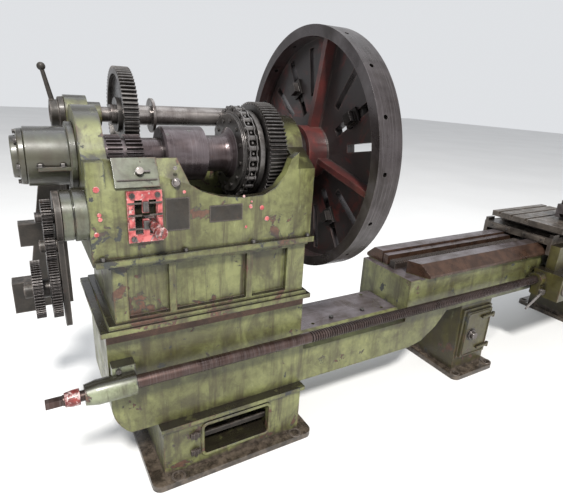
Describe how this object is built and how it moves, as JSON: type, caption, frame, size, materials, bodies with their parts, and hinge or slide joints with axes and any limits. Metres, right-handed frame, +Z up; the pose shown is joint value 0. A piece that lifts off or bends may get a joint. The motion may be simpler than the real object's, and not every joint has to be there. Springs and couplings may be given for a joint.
{
  "type": "metal lathe",
  "caption": "Heavy gap-bed lathe with geared headstock on a riser block, large four-jaw faceplate, slotted bed, leadscrew, carriage and tailstock.",
  "frame": {"origin": "on the floor under the middle of the machine's overall box", "axes": "+X from headstock to tailstock, +Y away from the operator, +Z up"},
  "size_m": [4.104, 1.05, 1.82],
  "materials": {
    "green_paint": "worn machine paint with rust and oil",
    "dark_iron": "oily rough cast iron",
    "oily_steel": "machined, oil-stained",
    "bright_steel": "handled steel",
    "red_paint": "worn red paint over steel"
  },
  "bodies": {
    "frame": {"bed": "green_paint", "rack": "oily_steel", "left_pedestal": "green_paint", "pedestal_tray": "dark_iron", "middle_leg": "green_paint", "tail_leg": "green_paint", "riser": "green_paint", "headstock": "green_paint", "rear_bearing_housing": "green_paint", "rear_bearing_cap": "green_paint", "front_bearing_ring": "oily_steel", "gear_cover": "green_paint", "gate_plate": "red_paint", "data_plates": "dark_iron", "reverse_boss": "green_paint", "back_shaft_bearing": "dark_iron", "quadrant": "dark_iron", "leadscrew_bracket": "green_paint", "leadscrew_end_bearing": "green_paint", "headstock_screws": "oily_steel"},
    "spindle_group": {"spindle": "oily_steel", "bull_gear": "oily_steel", "faceplate": "dark_iron"},
    "jaw_1": {"jaw_1": "dark_iron"},
    "jaw_2": {"jaw_2": "dark_iron"},
    "jaw_3": {"jaw_3": "dark_iron"},
    "jaw_4": {"jaw_4": "dark_iron"},
    "sleeve_group": {"sleeve": "oily_steel", "sprocket": "oily_steel", "drive_chain": "oily_steel"},
    "back_shaft_group": {"back_shaft": "oily_steel", "back_gear": "oily_steel", "back_pinion": "oily_steel"},
    "reverse_gear": {"reverse_gear": "oily_steel"},
    "idler_gear": {"idler_gear": "oily_steel"},
    "stud_gears": {"stud_gear_inner": "oily_steel", "stud_gear_outer": "oily_steel"},
    "leadscrew_group": {"leadscrew": "oily_steel", "leadscrew_collar": "red_paint"},
    "back_gear_lever": {"back_gear_lever": "dark_iron"},
    "shift_handle": {"shift_handle": "red_paint"},
    "cover_pointer": {"cover_pointer": "bright_steel"},
    "leg_door": {"leg_door": "green_paint"},
    "door_knob": {"door_knob": "bright_steel"},
    "end_guard": {"end_guard": "dark_iron"},
    "carriage": {"saddle": "dark_iron", "apron": "green_paint"},
    "halfnut_lever": {"halfnut_lever": "bright_steel"},
    "apron_handwheel": {"apron_handwheel": "bright_steel"},
    "cross_slide": {"cross_slide": "dark_iron"},
    "cross_handle": {"cross_handle": "bright_steel"},
    "swivel_base": {"swivel_base": "oily_steel"},
    "top_slide": {"top_slide": "oily_steel"},
    "top_handle": {"top_handle": "bright_steel"},
    "tool_post": {"tool_post": "oily_steel"},
    "post_lever": {"post_lever": "bright_steel"},
    "tailstock": {"tailstock": "green_paint"},
    "quill": {"quill": "bright_steel"},
    "tail_handwheel": {"tail_handwheel": "bright_steel"},
    "quill_lock": {"quill_lock": "bright_steel"}
  },
  "joints": [
    {"name": "spindle_spin", "type": "hinge", "parent": "frame", "child": "spindle_group", "pos_m": [-0.898, 0.025, 1.32], "axis": [1, 0, 0], "continuous": true},
    {"name": "jaw_1_slide", "type": "slide", "parent": "spindle_group", "child": "jaw_1", "axis": [0, 0.5299, 0.848], "range_m": [-0.06, 0.085]},
    {"name": "jaw_2_slide", "type": "slide", "parent": "spindle_group", "child": "jaw_2", "axis": [0, -0.848, 0.5299], "range_m": [-0.06, 0.085]},
    {"name": "jaw_3_slide", "type": "slide", "parent": "spindle_group", "child": "jaw_3", "axis": [0, -0.5299, -0.848], "range_m": [-0.06, 0.085]},
    {"name": "jaw_4_slide", "type": "slide", "parent": "spindle_group", "child": "jaw_4", "axis": [0, 0.848, -0.5299], "range_m": [-0.06, 0.085]},
    {"name": "sleeve_spin", "type": "hinge", "parent": "frame", "child": "sleeve_group", "pos_m": [-1.398, 0.025, 1.32], "axis": [1, 0, 0], "continuous": true},
    {"name": "back_shaft_spin", "type": "hinge", "parent": "frame", "child": "back_shaft_group", "pos_m": [-1.398, 0.22462, 1.444], "axis": [1, 0, 0], "continuous": true},
    {"name": "reverse_gear_spin", "type": "hinge", "parent": "frame", "child": "reverse_gear", "pos_m": [-1.928, -0.145, 1.16], "axis": [1, 0, 0], "continuous": true},
    {"name": "idler_gear_spin", "type": "hinge", "parent": "frame", "child": "idler_gear", "pos_m": [-1.928, -0.14005, 1.06563], "axis": [1, 0, 0], "continuous": true},
    {"name": "stud_gears_spin", "type": "hinge", "parent": "frame", "child": "stud_gears", "pos_m": [-1.928, -0.14492, 0.92621], "axis": [1, 0, 0], "continuous": true},
    {"name": "leadscrew_spin", "type": "hinge", "parent": "frame", "child": "leadscrew_group", "pos_m": [-0.898, -0.225, 0.546], "axis": [1, 0, 0], "continuous": true},
    {"name": "back_gear_lever_swing", "type": "hinge", "parent": "frame", "child": "back_gear_lever", "pos_m": [-1.836, 0.22462, 1.444], "axis": [1, 0, 0], "range_deg": [-100, 0]},
    {"name": "shift_handle_slide", "type": "slide", "parent": "frame", "child": "shift_handle", "axis": [0, 0, 1], "range_m": [-0.018, 0.076]},
    {"name": "cover_pointer_turn", "type": "hinge", "parent": "frame", "child": "cover_pointer", "pos_m": [-1.642, -0.19864, 1.29603], "axis": [0, -0.8645, 0.5026], "range_deg": [-60, 60]},
    {"name": "leg_door_swing", "type": "hinge", "parent": "frame", "child": "leg_door", "pos_m": [0.408, -0.204, 0.2625], "axis": [0, 0, 1], "range_deg": [0, 110]},
    {"name": "door_knob_turn", "type": "hinge", "parent": "leg_door", "child": "door_knob", "pos_m": [0.242, -0.202, 0.2625], "axis": [0, 1, 0], "range_deg": [0, 90]},
    {"name": "end_guard_swing", "type": "hinge", "parent": "frame", "child": "end_guard", "pos_m": [-1.817, 0.275, 1.07], "axis": [0, 0, 1], "range_deg": [0, 60]},
    {"name": "carriage_slide", "type": "slide", "parent": "frame", "child": "carriage", "axis": [1, 0, 0], "range_m": [-0.95, 0.05]},
    {"name": "halfnut_lever_swing", "type": "hinge", "parent": "carriage", "child": "halfnut_lever", "pos_m": [0.744, -0.265, 0.48], "axis": [0, 1, 0], "range_deg": [-25, 30]},
    {"name": "apron_handwheel_turn", "type": "hinge", "parent": "carriage", "child": "apron_handwheel", "pos_m": [1.3178, -0.375, 0.77], "axis": [0, 1, 0], "range_deg": [-1100, 65]},
    {"name": "cross_slide_move", "type": "slide", "parent": "carriage", "child": "cross_slide", "axis": [0, 1, 0], "range_m": [-0.1, 0.15]},
    {"name": "cross_handle_turn", "type": "hinge", "parent": "carriage", "child": "cross_handle", "pos_m": [1.107, -0.275, 0.821], "axis": [0, 1, 0], "range_deg": [-3620, 5420]},
    {"name": "swivel_turn", "type": "hinge", "parent": "cross_slide", "child": "swivel_base", "pos_m": [1.107, -0.175, 0.88], "axis": [0, 0, 1], "range_deg": [-60, 60]},
    {"name": "top_slide_move", "type": "slide", "parent": "swivel_base", "child": "top_slide", "axis": [1, 0, 0], "range_m": [-0.05, 0.05]},
    {"name": "top_handle_turn", "type": "hinge", "parent": "top_slide", "child": "top_handle", "pos_m": [1.227, -0.175, 0.957], "axis": [1, 0, 0], "range_deg": [-2900, 2900]},
    {"name": "tool_post_turn", "type": "hinge", "parent": "top_slide", "child": "tool_post", "pos_m": [1.077, -0.175, 1.024], "axis": [0, 0, 1], "continuous": true},
    {"name": "post_lever_turn", "type": "hinge", "parent": "top_slide", "child": "post_lever", "pos_m": [1.077, -0.175, 1.074], "axis": [0, 0, 1], "range_deg": [-45, 45]},
    {"name": "tailstock_slide", "type": "slide", "parent": "frame", "child": "tailstock", "axis": [1, 0, 0], "range_m": [-0.1, 0.05]},
    {"name": "quill_move", "type": "slide", "parent": "tailstock", "child": "quill", "axis": [1, 0, 0], "range_m": [-0.12, 0]},
    {"name": "tail_handwheel_turn", "type": "hinge", "parent": "tailstock", "child": "tail_handwheel", "pos_m": [1.952, 0.025, 1.32], "axis": [1, 0, 0], "range_deg": [-5, 4330]},
    {"name": "quill_lock_turn", "type": "hinge", "parent": "tailstock", "child": "quill_lock", "pos_m": [1.642, 0.025, 1.43], "axis": [0, 0, 1], "range_deg": [0, 75]}
  ],
  "couplings": [
    {"joint": "sleeve_spin", "follows": "spindle_spin", "ratio": 11.846},
    {"joint": "back_shaft_spin", "follows": "spindle_spin", "ratio": -4.5294},
    {"joint": "reverse_gear_spin", "follows": "spindle_spin", "ratio": 1},
    {"joint": "idler_gear_spin", "follows": "spindle_spin", "ratio": -1.1724},
    {"joint": "stud_gears_spin", "follows": "spindle_spin", "ratio": 0.53125},
    {"joint": "apron_handwheel_turn", "follows": "carriage_slide", "rad_per_m": 20},
    {"joint": "cross_handle_turn", "follows": "cross_slide_move", "rad_per_m": 628.32},
    {"joint": "top_handle_turn", "follows": "top_slide_move", "rad_per_m": 966.64},
    {"joint": "tail_handwheel_turn", "follows": "quill_move", "rad_per_m": -628.32}
  ]
}
